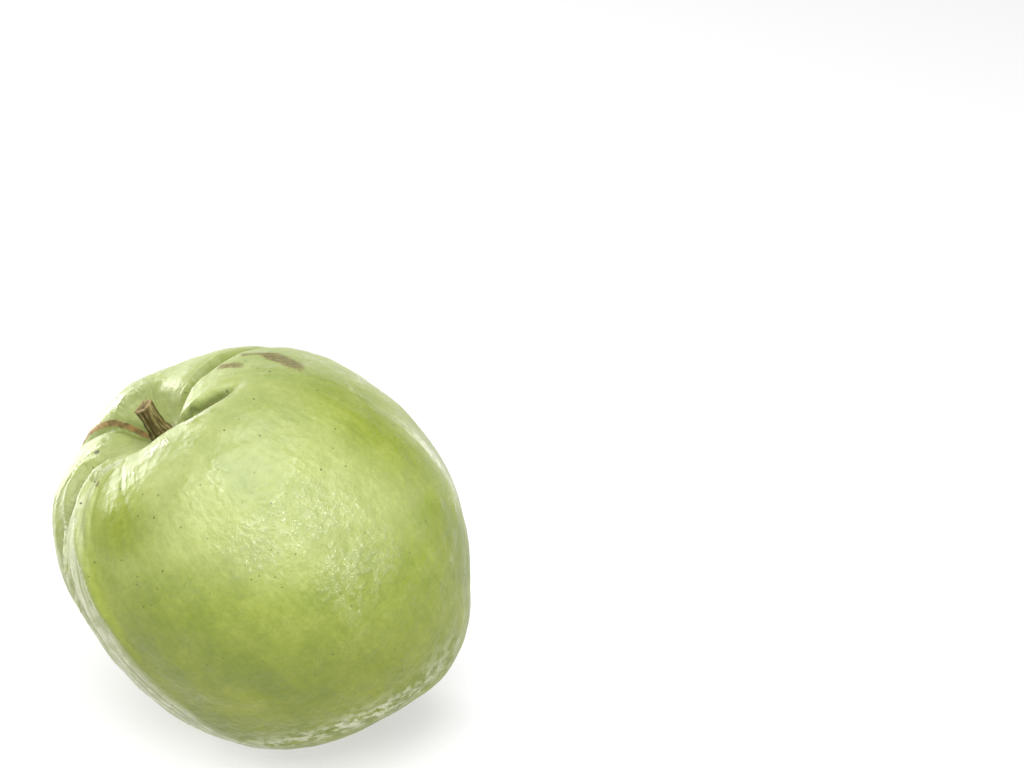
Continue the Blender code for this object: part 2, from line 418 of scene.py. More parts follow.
    def specks(self, board: Board, body: Socket) -> Value:
        """Scatter small dark breathing pores, one in a few cells, and fainter finer ones.

        Args:
            board: The material's board.
            body: Places in the fruit's own frame.

        Returns:
            How dark the specks make each place, from 0 to 1.
        """
        away, own, _ = board.cells(body, self.pore_spacing)
        pores = away.band(0.062, 0.036) * own.band(0.5, 0.62)
        away, _, own = board.cells(body, self.fleck_spacing)
        flecks = away.band(0.13, 0.07) * own.band(0.62, 0.75)
        return pores.most(flecks * self.fleck_share)

    def marks(self, board: Board, body: Socket,
              colour: Socket) -> Socket:
        """Lay the corky groove, the scars, the dark spot and the blossom end's tan.

        Args:
            board: The material's board.
            body: Places in the fruit's own frame.
            colour: The skin so far.

        Returns:
            The marked skin's colour.
        """
        crumb = board.cloud(body, 0.8 * MM, 4.0, 0.7)
        grain = board.cloud(body, 3.0 * MM, 4.0, 0.65)
        cork_tone = board.blend(grain.band(0.34, 0.56), self.cork_dark, self.cork)
        cork_share = (board.number("cork") + (crumb - 0.5) * 0.25).band(0.35, 0.62)
        colour = board.blend(cork_share * self.mark_share, colour, cork_tone)
        stain_share = (board.number("stained") + (grain - 0.5) * 0.9).band(0.3, 0.95)
        colour = board.blend(stain_share * self.scar_share, colour, self.stain)
        scar_tone = board.blend(crumb.band(0.40, 0.58), self.scar, self.scar_pale)
        scarred = board.number("scar") + (crumb - 0.5) * 1.1 + (grain - 0.5) * 1.0
        scarred = scarred.band(0.40, 0.80) * self.scar_share
        colour = board.blend(scarred, colour, scar_tone)
        spotted = (board.number("spot") + (crumb - 0.5) * 0.6).band(0.35, 0.55)
        colour = board.blend(spotted * self.mark_share, colour, self.speck)
        blossom = board.number("way").band(1.25, 1.85) * (0.4 + grain * 0.8)
        return board.blend(blossom, colour, self.blossom)

    def relief(self, board: Board, body: Socket,
               flow: Socket) -> Socket:
        """Bump the skin with lumps, meridian lines, pebbles in patches, pores and cork.

        Args:
            board: The material's board.
            body: Places in the fruit's own frame.
            flow: Places that run with the fruit's meridians.

        Returns:
            The bumped normal.
        """
        swell = board.cloud(body, 6.0 * MM, 2.0, 0.5)
        line = board.cloud(flow, 1.0 * MM, 3.0, 0.65)
        pebble = board.cloud(body, self.pebble_size, 3.0, 0.62)
        crinkle = board.cloud(body, self.crinkle_size, 4.0, 0.65) * board.number("crinkled_and_highlight")
        pore = board.cloud(body, 0.55 * MM, 2.0, 0.6)
        coarse = board.raise_by(swell, self.swell_depth)
        polished_and_highlight = board.number("polished_and_highlight")
        ridged = (0.1 + board.number("lined") * 0.5 + board.number("ribbed_and_highlight") * 0.8
                  + polished_and_highlight * 0.8)
        lined = board.raise_by(line * ridged, self.line_depth, coarse)
        pebbled = board.number("pebbled")
        pebbles = pebble * (0.25 + pebbled * 0.75 + polished_and_highlight * 0.5)
        bumped = board.raise_by(pebbles, self.pebble_depth, lined)
        bumped = board.raise_by(crinkle, self.crinkle_depth, bumped)
        pores = pore * (0.35 + pebbled * 0.65)
        fine = board.raise_by(pores, self.pore_depth, bumped)
        crust = board.cloud(body, 0.6 * MM, 4.0, 0.7)
        crusted = crust * board.number("scar").most(board.number("cork") * 0.4)
        return board.raise_by(crusted, self.crust_depth, fine)

    def material(self) -> bpy.types.Material:
        """Make the skin's material.

        Returns:
            The skin's material.
        """
        board = Board("guava_skin")
        body = board.place("body")
        flow = board.place("flow")
        cluster = board.cloud(body, 6 * MM, 3.0, 0.6)
        spread = (cluster - 0.5 + board.number("pebbled") * 0.26).band(0.06, 0.24)
        glint = board.cloud(body, self.pebble_size, 3.0, 0.62).band(0.44, 0.56)
        patch = spread * (glint * 0.75 + 0.25)
        bloom = board.cloud(body, 7 * MM, 3.0, 0.6)
        dull = board.number("cork").most(board.number("scar"))
        board.dress(
            Base_Color=self.colours(board, body, flow, patch),
            Roughness=(self.plain_roughness + bloom * self.bloom_roughness
                       - patch * self.glint_gloss + dull * self.cork_roughness
                       - self.polish_and_highlight(board, body, flow) * self.polish_gloss),
            Normal=self.relief(board, body, flow),
            Subsurface_Weight=0.10,
            Subsurface_Radius=(0.9, 1.0, 0.35),
            Subsurface_Scale=3 * MM,
            IOR=1.5,
            Specular_IOR_Level=0.55,
            Sheen_Weight=0.09,
            Sheen_Roughness=0.35,
        )
        return board.material


@dataclass(frozen=True)
class BarkFinish:
    """Dry fibrous bark of the stem stub, paler on its broken end and ridges."""

    dark: Colour = paint(40, 34, 16)
    middle: Colour = paint(92, 80, 42)
    light: Colour = paint(172, 160, 108)
    wood: Colour = paint(186, 166, 118)

    def material(self) -> bpy.types.Material:
        """Make the bark's material.

        Returns:
            The bark's material.
        """
        board = Board("stem_bark")
        grain = board.place("grain")
        fibre = board.cloud(grain, 0.5 * MM, 4.0, 0.65)
        blotch = board.cloud(grain, 1.9 * MM, 3.0, 0.6)
        ramp = board.add("ShaderNodeValToRGB", {"stops": (
            (0.34, self.dark), (0.5, self.middle), (0.68, self.light))},
            {0: fibre * 0.55 + blotch * 0.45})
        colour = board.blend(board.number("broken") * 0.75, ramp.outputs[0], self.wood)
        crack = board.cloud(grain, 0.3 * MM, 3.0, 0.7)
        normal = board.raise_by(crack, 0.12 * MM, board.raise_by(fibre, 0.3 * MM))
        board.dress(Base_Color=colour, Roughness=0.7 + blotch * 0.2, Normal=normal,
                    Specular_IOR_Level=0.3)
        return board.material


@dataclass(frozen=True)
class DriedFinish:
    """Dull dried tissue of the calyx: papery brown, veined and blotched."""

    name: str
    dark: Colour
    light: Colour
    vein: Colour
    vein_size: float = 0.7 * MM

    def material(self) -> bpy.types.Material:
        """Make the dried tissue's material.

        Returns:
            The material of the dried calyx.
        """
        board = Board(self.name)
        grain = board.place("grain")
        vein = board.cloud(grain, self.vein_size, 3.0, 0.6)
        blotch = board.cloud(grain, 2.4 * MM, 3.0, 0.6)
        tone = board.blend(blotch.band(0.35, 0.65), self.dark, self.light)
        colour = board.blend(vein.band(0.55, 0.7) * 0.6, tone, self.vein)
        normal = board.raise_by(vein, 0.22 * MM)
        board.dress(Base_Color=colour, Roughness=0.72 + blotch * 0.2, Normal=normal,
                    Specular_IOR_Level=0.3)
        return board.material


@dataclass(frozen=True)
class FloorFinish:
    """A plain, pale, matt studio floor."""

    colour: Colour = (0.46, 0.46, 0.46)
    glow: float = 0.5

    def material(self) -> bpy.types.Material:
        """Make the floor's material, which glows a little, as a lit table does.

        Returns:
            The floor's material.
        """
        board = Board("studio_floor")
        board.dress(Base_Color=self.colour, Roughness=0.9, Specular_IOR_Level=0.1,
                    Emission_Color=(1.0, 1.0, 1.0), Emission_Strength=self.glow)
        return board.material


# ------------------------------------------------------------------------------------- form


@dataclass(frozen=True)
class Line:
    """A fold or a rib that runs over the skin."""

    height: float
    half_width: float
    path: Path
    fade_in: float = 0.2
    fade_out: float = 0.35


@dataclass(frozen=True)
class Swelling:
    """A broad swelling or hollow: where it is, how high, and how far it spreads."""

    way: float
    turn: float
    height: float
    way_spread: float
    turn_spread: float

    def nearness(self, way: np.ndarray, turn: np.ndarray) -> np.ndarray:
        """Give 1 at its middle, falling smoothly to 0 round it.

        Args:
            way: Places along the profile.
            turn: Turns round the axis, in degrees.

        Returns:
            Each place's share of the swelling's height.
        """
        aside = (turn - self.turn + 180.0) % 360.0 - 180.0
        far = (aside / self.turn_spread) ** 2 + ((way - self.way) / self.way_spread) ** 2
        return np.exp(-far)


@dataclass(frozen=True)
class RibHighlightBand:
    """The ridged band behind the main rib, with a painted highlight: its turns in degrees, and
    how strong it is.
    """

    edge: float = 6.0
    reach: float = 64.0
    fade: float = 44.0
    upper_share: float = 0.65
    lower_gain: float = 0.5


@dataclass(frozen=True)
class GuavaForm:
    """The fruit's form about its own axis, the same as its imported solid's."""

    widest_radius: float = 0.0415
    widest_height: float = 0.0051
    shoulder_radius: float = 0.0129
    shoulder_height: float = 0.0403
    cavity_depth: float = 0.0057
    cavity_floor_radius: float = 0.0028
    cavity_wall_power: float = 0.8
    blossom_radius: float = 0.0120
    blossom_height: float = -0.0455
    pit_depth: float = 0.0040
    pit_floor_radius: float = 0.0042
    lower_flank_power: float = 1.06
    fit_gap: float = 0.0003
    line_samples: int = 80
    slope_step: float = 0.001

    @property
    def cavity_floor(self) -> float:
        """Height of the stem cavity's floor on the axis."""
        return self.shoulder_height - self.cavity_depth

    @property
    def pit_floor(self) -> float:
        """Height of the calyx pit's floor on the axis."""
        return self.blossom_height + self.pit_depth

    def profile(self, way: np.ndarray) -> tuple[np.ndarray, np.ndarray]:
        """Work out the plain body's profile.

        Args:
            way: Places along the profile.

        Returns:
            Their radii and heights.
        """
        way = np.asarray(way, dtype=float)
        cavity_radius = np.clip(way + 1.0, 0.0, 1.0) * self.shoulder_radius
        wall = self.shoulder_radius - self.cavity_floor_radius
        rise = ease((cavity_radius - self.cavity_floor_radius) / wall) ** self.cavity_wall_power
        cavity_height = self.shoulder_height - self.cavity_depth * (1.0 - rise)

        upper = np.pi * np.clip(way, 0.0, 0.5)
        upper_span = self.widest_radius - self.shoulder_radius
        upper_radius = self.shoulder_radius + upper_span * np.sin(upper)
        upper_rise = self.shoulder_height - self.widest_height
        upper_height = self.widest_height + upper_rise * np.cos(upper)

        lower = np.pi * (np.clip(way, 0.5, 1.0) - 0.5)
        lower_share = np.clip(np.cos(lower), 0.0, 1.0) ** self.lower_flank_power
        lower_span = self.widest_radius - self.blossom_radius
        lower_radius = self.blossom_radius + lower_span * lower_share
        lower_rise = self.blossom_height - self.widest_height
        lower_height = self.widest_height + lower_rise * np.sin(lower)

        pit_radius = np.clip(2.0 - way, 0.0, 1.0) * self.blossom_radius
        pit_wall = self.blossom_radius - self.pit_floor_radius
        pit_share = ease((pit_radius - self.pit_floor_radius) / pit_wall)
        pit_height = self.blossom_height + self.pit_depth * (1.0 - pit_share)

        stretches = [way < 0.0, way <= 0.5, way <= 1.0]
        radius = np.select(stretches, [cavity_radius, upper_radius, lower_radius], pit_radius)
        height = np.select(stretches, [cavity_height, upper_height, lower_height], pit_height)
        return radius, height

    def point(self, way: np.ndarray, turn: np.ndarray) -> np.ndarray:
        """Give points of the plain body.

        Args:
            way: Places along the profile.
            turn: Turns round the axis, in degrees.

        Returns:
            The points, one to a row.
        """
        radius, height = self.profile(way)
        angle = np.radians(turn)
        return np.stack([radius * np.cos(angle), radius * np.sin(angle), height], axis=-1)

    def normal(self, way: np.ndarray, turn: np.ndarray) -> np.ndarray:
        """Give outward directions of the plain body.

        Args:
            way: Places along the profile.
            turn: Turns round the axis, in degrees.

        Returns:
            The directions, one to a row, each of length 1.
        """
        before = self.profile(np.maximum(way - self.slope_step, -1.0))
        after = self.profile(np.minimum(way + self.slope_step, 2.0))
        out = before[1] - after[1]
        up = after[0] - before[0]
        angle = np.radians(turn)
        normal = np.stack([out * np.cos(angle), out * np.sin(angle), up], axis=-1)
        return normal / np.hypot(out, up)[:, None]

    def along(self, points: np.ndarray, line: Line) -> tuple[np.ndarray, np.ndarray]:
        """Measure points against a line on the skin.

        Args:
            points: Points of the plain body.
            line: The line.

        Returns:
            Each point's distance to the line, and the line's strength where it is nearest.
        """
        share = np.linspace(0.0, 1.0, self.line_samples)
        stations = np.linspace(0.0, 1.0, len(line.path))
        line_way = np.interp(share, stations, [way for way, _ in line.path])
        line_turn = np.interp(share, stations, [angle for _, angle in line.path])
        samples = self.point(line_way, line_turn)
        square = (points ** 2).sum(1)[:, None] + (samples ** 2).sum(1)[None, :]
        square -= 2.0 * points @ samples.T
        nearest = square.argmin(axis=1)
        distance = np.sqrt(np.maximum(square.min(axis=1), 0.0))
        strength = ease(share / line.fade_in) * ease((1.0 - share) / line.fade_out)
        return distance, strength[nearest]


@dataclass(frozen=True)
class FruitAxis:
    """Where the fruit's own axis stands in the row frame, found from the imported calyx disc."""

    lean: float = math.radians(34.5)
    heading: float = math.radians(2.3)

    def place(self, form: GuavaForm) -> Matrix:
        """Give the turn and move that take the fruit's own frame to the row frame.

        Args:
            form: The fruit's form, which says how high on the axis the disc lies.

        Returns:
            The matrix.
        """
        turned = Euler((0.0, -self.lean, self.heading)).to_matrix()
        up = turned @ Vector((0.0, 0.0, 1.0))
        corners = [vert.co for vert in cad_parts["calyx_disc"].data.vertices]
        middle = sum(corners, Vector()) / len(corners)
        highest = max(corner.dot(up) for corner in corners)
        on_axis = middle + up * (highest - middle.dot(up))
        origin = on_axis - up * (form.pit_floor - form.fit_gap)
        return Matrix.Translation(origin) @ turned.to_4x4()


# ----------------------------------------------------------------------------------- pieces


class Workshop:
    """Turns finished meshes into pieces that ride on the frame."""

    @staticmethod
    def store(mesh: bpy.types.Mesh, name: str, values: np.ndarray) -> None:
        """Store numbers or positions on a mesh's points.

        Args:
            mesh: The mesh.
            name: What a material reads them by.
            values: One number or one position for each point.
        """
        if values.ndim == 2:
            layer = mesh.attributes.new(name, "FLOAT_VECTOR", "POINT")
            layer.data.foreach_set("vector", values.astype(np.float32).ravel())
        else:
            layer = mesh.attributes.new(name, "FLOAT", "POINT")
            layer.data.foreach_set("value", values.astype(np.float32))

    @staticmethod
    def show(name: str, data: bpy.types.ID) -> bpy.types.Object:
        """Put a new object with this mesh, lamp or camera in the scene.

        Args:
            name: The object's name.
            data: What it shows.

        Returns:
            The object.
        """
        thing = bpy.data.objects.new(name, data)
        bpy.context.scene.collection.objects.link(thing)
        return thing

    @staticmethod
    def piece(name: str, bm: bmesh.types.BMesh, material: bpy.types.Material,
              slot: Slot) -> bpy.types.Object:
        """Make a smooth piece that rides on the root body.

        Args:
            name: The piece's name.
            bm: Its mesh, in the row frame.
            material: Its finish.
            slot: The record's slot for it; not used.

        Returns:
            The object.
        """
        bmesh.ops.recalc_face_normals(bm, faces=bm.faces)
        # That can turn a thin curled piece inside out, which a negative volume gives away.
        if bm.calc_volume(signed=True) < 0.0:
            bmesh.ops.reverse_faces(bm, faces=bm.faces)
        mesh = bpy.data.meshes.new(name)
        bm.to_mesh(mesh)
        bm.free()
        mesh.shade_smooth()
        mesh.materials.append(material)
        thing = Workshop.show(name, mesh)
        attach(thing, "root")
        LOG.info("%s: %d faces", name, len(mesh.polygons))
        return thing

    @staticmethod
    def turned(outline: Sequence[tuple[float, float]], sides: int) -> bmesh.types.BMesh:
        """Turn an outline about +Z; it starts and ends on the axis.

        Args:
            outline: Radius and height of each point.
            sides: How many sides go round.

        Returns:
            The closed mesh.
        """
        bm = bmesh.new()
        verts = [bm.verts.new((radius, 0.0, height)) for radius, height in outline]
        edges = [bm.edges.new(pair) for pair in zip(verts, verts[1:])]
        bmesh.ops.spin(bm, geom=verts + edges, cent=(0.0, 0.0, 0.0), axis=(0.0, 0.0, 1.0),
                       angle=2 * math.pi, steps=sides, use_merge=True)
        bmesh.ops.remove_doubles(bm, verts=bm.verts, dist=1e-7)
        return bm

    @staticmethod
    def smooth_outline(points: Sequence[tuple[float, float]],
                       steps: int) -> list[tuple[float, float]]:
        """Add even steps between the corner points of an outline.

        Args:
            points: Radius and height of the corners.
            steps: Steps in each stretch.

        Returns:
            The finer outline.
        """
        stations = np.arange(len(points))
        fine = np.linspace(0, len(points) - 1, (len(points) - 1) * steps + 1)
        radii = np.interp(fine, stations, [radius for radius, _ in points])
        heights = np.interp(fine, stations, [height for _, height in points])
        return list(zip(radii.tolist(), heights.tolist()))


def fractal(points: np.ndarray, size: float, octaves: int = 2, seed: float = 0.0) -> np.ndarray:
    """Read a smooth noise at each point.

    Args:
        points: Where.
        size: The size of its lumps.
        octaves: How many layers, each half the size and half as strong.
        seed: Moves the noise, so that two readings differ.

    Returns:
        Values round 0, mostly within 1 of it.
    """
    shift = Vector((seed, 2.0 * seed, -seed))
    return np.array([noise.fractal(Vector(point) / size + shift, 1.0, 2.0, octaves)
                     for point in points])


@dataclass
class FruitSkin:
    """The fruit's whole outside: lobes, folds, ribs, wrinkles and lumps in one skin."""

    form: GuavaForm
    place: Matrix
    turns: int = 320
    cavity_rings: int = 54
    shoulder_rings: int = 80
    flank_rings: int = 130
    pit_rings: int = 36
    shoulder_way: float = 0.2
    lump_height: float = 0.34 * MM
    lump_size: float = 11 * MM
    dimple_height: float = 0.07 * MM
    dimple_size: float = 3.6 * MM
    wrinkle_height: float = 0.22 * MM
    wrinkle_size: float = 2.2 * MM
    crinkle_height: float = 0.55 * MM
    crinkle_size: float = 4.0 * MM
    fold_depth: float = 2.4 * MM
    crease_depth: float = 1.1 * MM
    flow_length: float = 7 * MM
    pit_fade: float = 0.8
    rib_highlight_band: RibHighlightBand = RibHighlightBand()
    main_rib_turn: float = -132.0
    crinkle_turn: float = -95.0
    crinkle_turn_spread: float = 55.0
    crinkle_way: float = 0.815
    crinkle_slant: float = 0.27
    crinkle_spread: float = 0.045
    # The painted shade low down fades out between these heights.
    shade_low: float = 18 * MM
    shade_rise: float = 62 * MM
    folds: dict[str, Line] = field(default_factory=lambda: {
        "corky groove": Line(2.3 * MM, 1.8 * MM, (
            (-0.85, 132), (-0.5, 133), (-0.2, 135), (0.0, 138), (0.07, 143), (0.16, 148),
            (0.34, 151))),
        "short fold beside the stem": Line(2.4 * MM, 1.9 * MM, (
            (-0.7, -75), (-0.2, -52), (0.01, -43), (0.05, -32), (0.09, -22), (0.14, -12))),
        "long fold over the top": Line(3.0 * MM, 2.2 * MM, (
            (-0.8, 10), (-0.4, 12), (-0.05, 19), (0.05, 23), (0.13, 27), (0.24, 32),
            (0.4, 36))),
        "fold down the side": Line(1.6 * MM, 2.6 * MM, (
            (-0.6, -175), (-0.1, -166), (0.1, -163), (0.3, -163), (0.55, -166),
            (0.85, -172))),
    })
    ribs: dict[str, Line] = field(default_factory=lambda: {
        "main rib": Line(1.4 * MM, 1.2 * MM, (
            (-0.1, -125), (0.012, -140), (0.06, -146), (0.108, -142), (0.151, -140),
            (0.234, -136), (0.361, -133), (0.5, -132), (0.66, -133)), 0.2, 0.4),
        "main rib's inner edge": Line(0.6 * MM, 0.6 * MM, (
            (0.0, -128), (0.061, -134.5), (0.133, -135.4), (0.214, -133), (0.35, -129)),
            0.2, 0.4),
        "second rib": Line(1.1 * MM, 0.9 * MM, (
            (-0.05, -172), (0.046, -179), (0.081, -175.6), (0.149, -167.2), (0.25, -158),
            (0.35, -148), (0.45, -145), (0.6, -146))),
        "third rib": Line(0.9 * MM, 0.9 * MM, (
            (-0.1, -188), (0.09, -184), (0.164, -176), (0.2, -169), (0.25, -167),
            (0.45, -166))),
        "fourth rib": Line(0.5 * MM, 1.1 * MM, (
            (-0.1, -200), (0.05, -197), (0.12, -192), (0.3, -186), (0.6, -184))),
        "ridge between the top folds": Line(0.8 * MM, 0.7 * MM, (
            (-0.5, -55), (-0.19, -41), (0.0, -35), (0.026, -27), (0.048, -21), (0.076, -17),
            (0.106, -14))),
        "lip of the long fold": Line(0.6 * MM, 0.55 * MM, (
            (-0.6, 30), (-0.31, 28), (-0.15, 26), (0.02, 29), (0.06, 30.5), (0.093, 32.6),
            (0.126, 33), (0.2, 36)), 0.2, 0.3),
    })
    creases: dict[str, Line] = field(default_factory=lambda: {
        "crease of the short fold": Line(1.5 * MM, 0.55 * MM, (
            (-0.5, -60), (-0.08, -42), (0.024, -34), (0.047, -27), (0.066, -23.3),
            (0.089, -20), (0.116, -19))),
        "crease of the long fold": Line(1.4 * MM, 0.8 * MM, (
            (-0.7, 14), (-0.3, 17), (0.0, 21), (0.06, 24), (0.13, 28), (0.2, 32))),
        "faint line down the near lobe": Line(0.22 * MM, 0.6 * MM, (
            (-0.09, -124), (0.067, -114.8), (0.111, -112.3), (0.152, -109.7),
            (0.22, -109))),
    })
    swellings: dict[str, Swelling] = field(default_factory=lambda: {
        "stem cavity's far lobe": Swelling(0.10, 120, 1.1 * MM, 0.12, 28),
        "far lobe's crest": Swelling(0.02, 100, 2.2 * MM, 0.08, 25),
        "lobe beside the groove": Swelling(0.20, 160, 1.1 * MM, 0.12, 25),
        "rib down the side": Swelling(0.25, -140, 1.6 * MM, 0.22, 9),
        "waist of that side": Swelling(0.42, -160, -1.4 * MM, 0.14, 25),
        "hollow behind the long fold": Swelling(0.20, 45, -0.8 * MM, 0.12, 30),
        "far shoulder": Swelling(0.60, 0, 2.9 * MM, 0.14, 30),
        "corner by the blossom end": Swelling(0.88, -30, 2.6 * MM, 0.12, 35),
        "hollow by the blossom end": Swelling(0.80, -100, -1.6 * MM, 0.15, 35),
        "underside that it rests on": Swelling(0.72, 180, 0.9 * MM, 0.13, 32),
        "far side of the blossom end": Swelling(0.82, 20, 1.4 * MM, 0.14, 35),
        "lower belly": Swelling(0.72, -60, 1.0 * MM, 0.12, 28),
    })
    scars: dict[str, Line] = field(default_factory=lambda: {
        "grey scuff": Line(0.85, 1.8 * MM, (
            (0.055, 14), (0.075, 8), (0.104, 3), (0.145, -3)), 0.3, 0.3),
        "scuff behind it": Line(0.75, 1.2 * MM, (
            (0.119, 18), (0.136, 12.5), (0.179, 10.2), (0.214, 9)), 0.3, 0.3),
        "brown scab": Line(1.2, 2.9 * MM, (
            (0.172, 12), (0.195, 8), (0.222, 3.0), (0.246, -4), (0.275, -9)), 0.25, 0.45),
        "scab on the near lobe": Line(0.8, 0.9 * MM, (
            (0.05, -134), (0.068, -135), (0.085, -135)), 0.3, 0.4),
        "scratch by the corner": Line(0.9, 0.3 * MM, (
            (0.690, -65.0), (0.70, -64.3), (0.712, -65.2), (0.722, -66.6), (0.733, -65.6)),
            0.1, 0.1),
        "stain of the short fold": Line(0.8, 0.8 * MM, (
            (0.026, -34), (0.047, -28), (0.07, -24)), 0.3, 0.3),
    })
    spots: dict[str, Line] = field(default_factory=lambda: {
        "dark spot on the left lobe": Line(1.0, 0.5 * MM, (
            (-0.02, 178), (0.005, 178), (0.02, 177)), 0.3, 0.4),
    })
    polished_and_highlight: dict[str, Line] = field(default_factory=lambda: {
        "near lobe's crest": Line(1.0, 1.7 * MM, (
            (0.01, -98), (0.023, -90), (0.032, -80), (0.04, -68)), 0.25, 0.25),
        "crest by the short fold": Line(0.9, 1.0 * MM, (
            (0.036, -57), (0.04, -52), (0.076, -41), (0.09, -36)), 0.25, 0.3),
        "head of the main rib": Line(0.9, 1.2 * MM, (
            (-0.05, -118), (0.01, -128), (0.03, -138), (0.07, -141)), 0.25, 0.3),
    })
    fields: dict[str, Swelling] = field(default_factory=lambda: {
        "front of the belly": Swelling(0.37, -73, 1.0, 0.09, 16),
        "middle of the belly": Swelling(0.42, -52, 1.0, 0.10, 16),
        "right of the belly": Swelling(0.53, -56, 1.0, 0.08, 18),
        "far lobe": Swelling(0.03, 106, 0.9, 0.10, 24),
        "far shoulder": Swelling(0.45, 35, 0.9, 0.16, 26),
        "back": Swelling(0.40, 105, 0.8, 0.18, 24),
        "left flank": Swelling(0.55, 165, 0.8, 0.15, 22),
    })
    # Patches where shade is painted on the sides.
    shade_patches: dict[str, Swelling] = field(default_factory=lambda: {
        "right side, low": Swelling(0.69, -24.0, 0.8, 0.12, 16.0),
        "right side, high": Swelling(0.42, -14.0, 0.38, 0.20, 18.0),
        "left of the near lobe": Swelling(0.14, -118.0, 0.38, 0.18, 19.0),
    })
    # A streak on the right side that is ridged and carries a painted highlight.
    ribbed_highlight_streaks: dict[str, Swelling] = field(default_factory=lambda: {
        "right side": Swelling(0.57, -5.0, 1.5, 0.09, 4.0),
    })
    wrinkled: dict[str, Swelling] = field(default_factory=lambda: {
        "left side": Swelling(0.0, -165.0, 1.0, math.inf, 30.0),
        "far side": Swelling(0.0, 20.0, 0.55, math.inf, 30.0),
        "shoulder": Swelling(-0.1, 0.0, 0.5, 0.25, math.inf),
    })
    cork_line: Line = field(default_factory=lambda: Line(1.0, 0.42 * MM, (
        (-0.8, 128), (-0.5, 127), (-0.2, 129), (0.0, 132), (0.06, 136), (0.1, 138),
        (0.15, 142)), 0.05, 0.15))

    def ring_ways(self) -> np.ndarray:
        """Give the way of every ring, from pole to pole.

        Returns:
            The rings' places along the profile, in order.
        """
        return np.concatenate([
            np.linspace(-1.0, 0.0, self.cavity_rings, endpoint=False),
            np.linspace(0.0, self.shoulder_way, self.shoulder_rings, endpoint=False),
            np.linspace(self.shoulder_way, 1.0, self.flank_rings, endpoint=False),
            np.linspace(1.0, 2.0, self.pit_rings),
        ])

    @staticmethod
    def added(swellings: dict[str, Swelling], way: np.ndarray,
              turn: np.ndarray) -> np.ndarray:
        """Add up a set of swellings.

        Args:
            swellings: The swellings.
            way: Places along the profile.
            turn: Turns round the axis, in degrees.

        Returns:
            Their sum at each place.
        """
        lift = np.zeros(len(way))
        for swelling in swellings.values():
            lift += swelling.height * swelling.nearness(way, turn)
        return lift

    @staticmethod
    def highest(start: np.ndarray, swellings: dict[str, Swelling], way: np.ndarray,
                turn: np.ndarray) -> np.ndarray:
        """Take the highest of a start and a set of swellings at each point.

        Args:
            start: The values to start from.
            swellings: The swellings.
            way: Places along the profile.
            turn: Turns round the axis, in degrees.

        Returns:
            The highest value at each place.
        """
        share = start
        for swelling in swellings.values():
            share = np.maximum(share, swelling.height * swelling.nearness(way, turn))
        return share

    def line_lift(self, points: np.ndarray, lines: dict[str, Line]) -> np.ndarray:
        """Add up what a set of lines does to each point.

        Args:
            points: Points of the plain body.
            lines: The lines.

        Returns:
            The lift, in the lines' own units.
        """
        lift = np.zeros(len(points))
        for line in lines.values():
            distance, strength = self.form.along(points, line)
            lift += line.height * strength * np.exp(-(distance / line.half_width) ** 2)
        return lift

    def cork_strip(self, points: np.ndarray) -> np.ndarray:
        """Mark the strip of cork on the far wall of the groove, with a crisp edge."""
        distance, strength = self.form.along(points, self.cork_line)
        return ease(1.6 - distance / self.cork_line.half_width) * ease(strength * 2.0)

    def build(self, finish: SkinFinish) -> bpy.types.Object:
        """Model and dress the skin.

        Args:
            finish: Its finish.

        Returns:
            The piece.
        """
        ways = self.ring_ways()
        steps = len(ways) - 1
        bm = bmesh.new()
        bmesh.ops.create_uvsphere(bm, u_segments=self.turns, v_segments=steps, radius=1.0)
        ball = np.array([vert.co for vert in bm.verts])
        ring = np.rint(np.arccos(np.clip(ball[:, 2], -1.0, 1.0)) / np.pi * steps).astype(int)
        way = ways[ring]
        turn = np.degrees(np.arctan2(ball[:, 1], ball[:, 0]))
        plain = self.form.point(way, turn)
        sunk = self.line_lift(plain, self.folds)
        creased = self.line_lift(plain, self.creases)
        lift = self.added(self.swellings, way, turn) - sunk
        lift += self.line_lift(plain, self.ribs)
        lift -= creased
        lift += self.lump_height * fractal(plain, self.lump_size, 2, 3.7)
        lift += self.dimple_height * fractal(plain, self.dimple_size, 2, 9.1)
        flow = self.flow_places(way, turn)
        lined = self.lined_share(way, turn)
        ribbed_and_highlight = self.ribbed_and_highlight_share(way, turn)
        crinkled_and_highlight = self.crinkled_and_highlight_share(way, turn)
        wrinkle = fractal(flow, self.wrinkle_size, 2, 5.3)
        lift += self.wrinkle_height * (0.4 * lined + ribbed_and_highlight) * wrinkle
        lift += self.crinkle_height * crinkled_and_highlight * fractal(plain, self.crinkle_size, 3, 6.1)
        shaped = plain + self.form.normal(way, turn) * lift[:, None]
        turned = np.array(self.place.to_3x3())
        standing = shaped @ turned.T + np.array(self.place.translation)
        standing[:, 2] = np.maximum(standing[:, 2], 0.0)
        for vert, co in zip(bm.verts, standing):
            vert.co = co
        piece = Workshop.piece("guava_skin", bm, finish.material(), Slot.SKIN)
        readings = {
            "body": plain,
            "flow": flow,
            "way": way,
            "fold": sunk / self.fold_depth,
            "lined": lined,
            "ribbed_and_highlight": ribbed_and_highlight,
            "crinkled_and_highlight": crinkled_and_highlight,
            "pebbled": self.highest(np.zeros(len(way)), self.fields, way, turn),
            "cork": self.cork_strip(plain),
            "shaded": self.shaded_share(standing[:, 2], way, turn),
            "stained": ease((-0.55 - way) / 0.3),
            "scar": self.line_lift(plain, self.scars),
            "creased": creased / self.crease_depth,
            "polished_and_highlight": self.line_lift(plain, self.polished_and_highlight),
            "spot": self.line_lift(plain, self.spots),
        }
        for name, values in readings.items():
            Workshop.store(piece.data, name, values)
        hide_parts("fruit")
        return piece

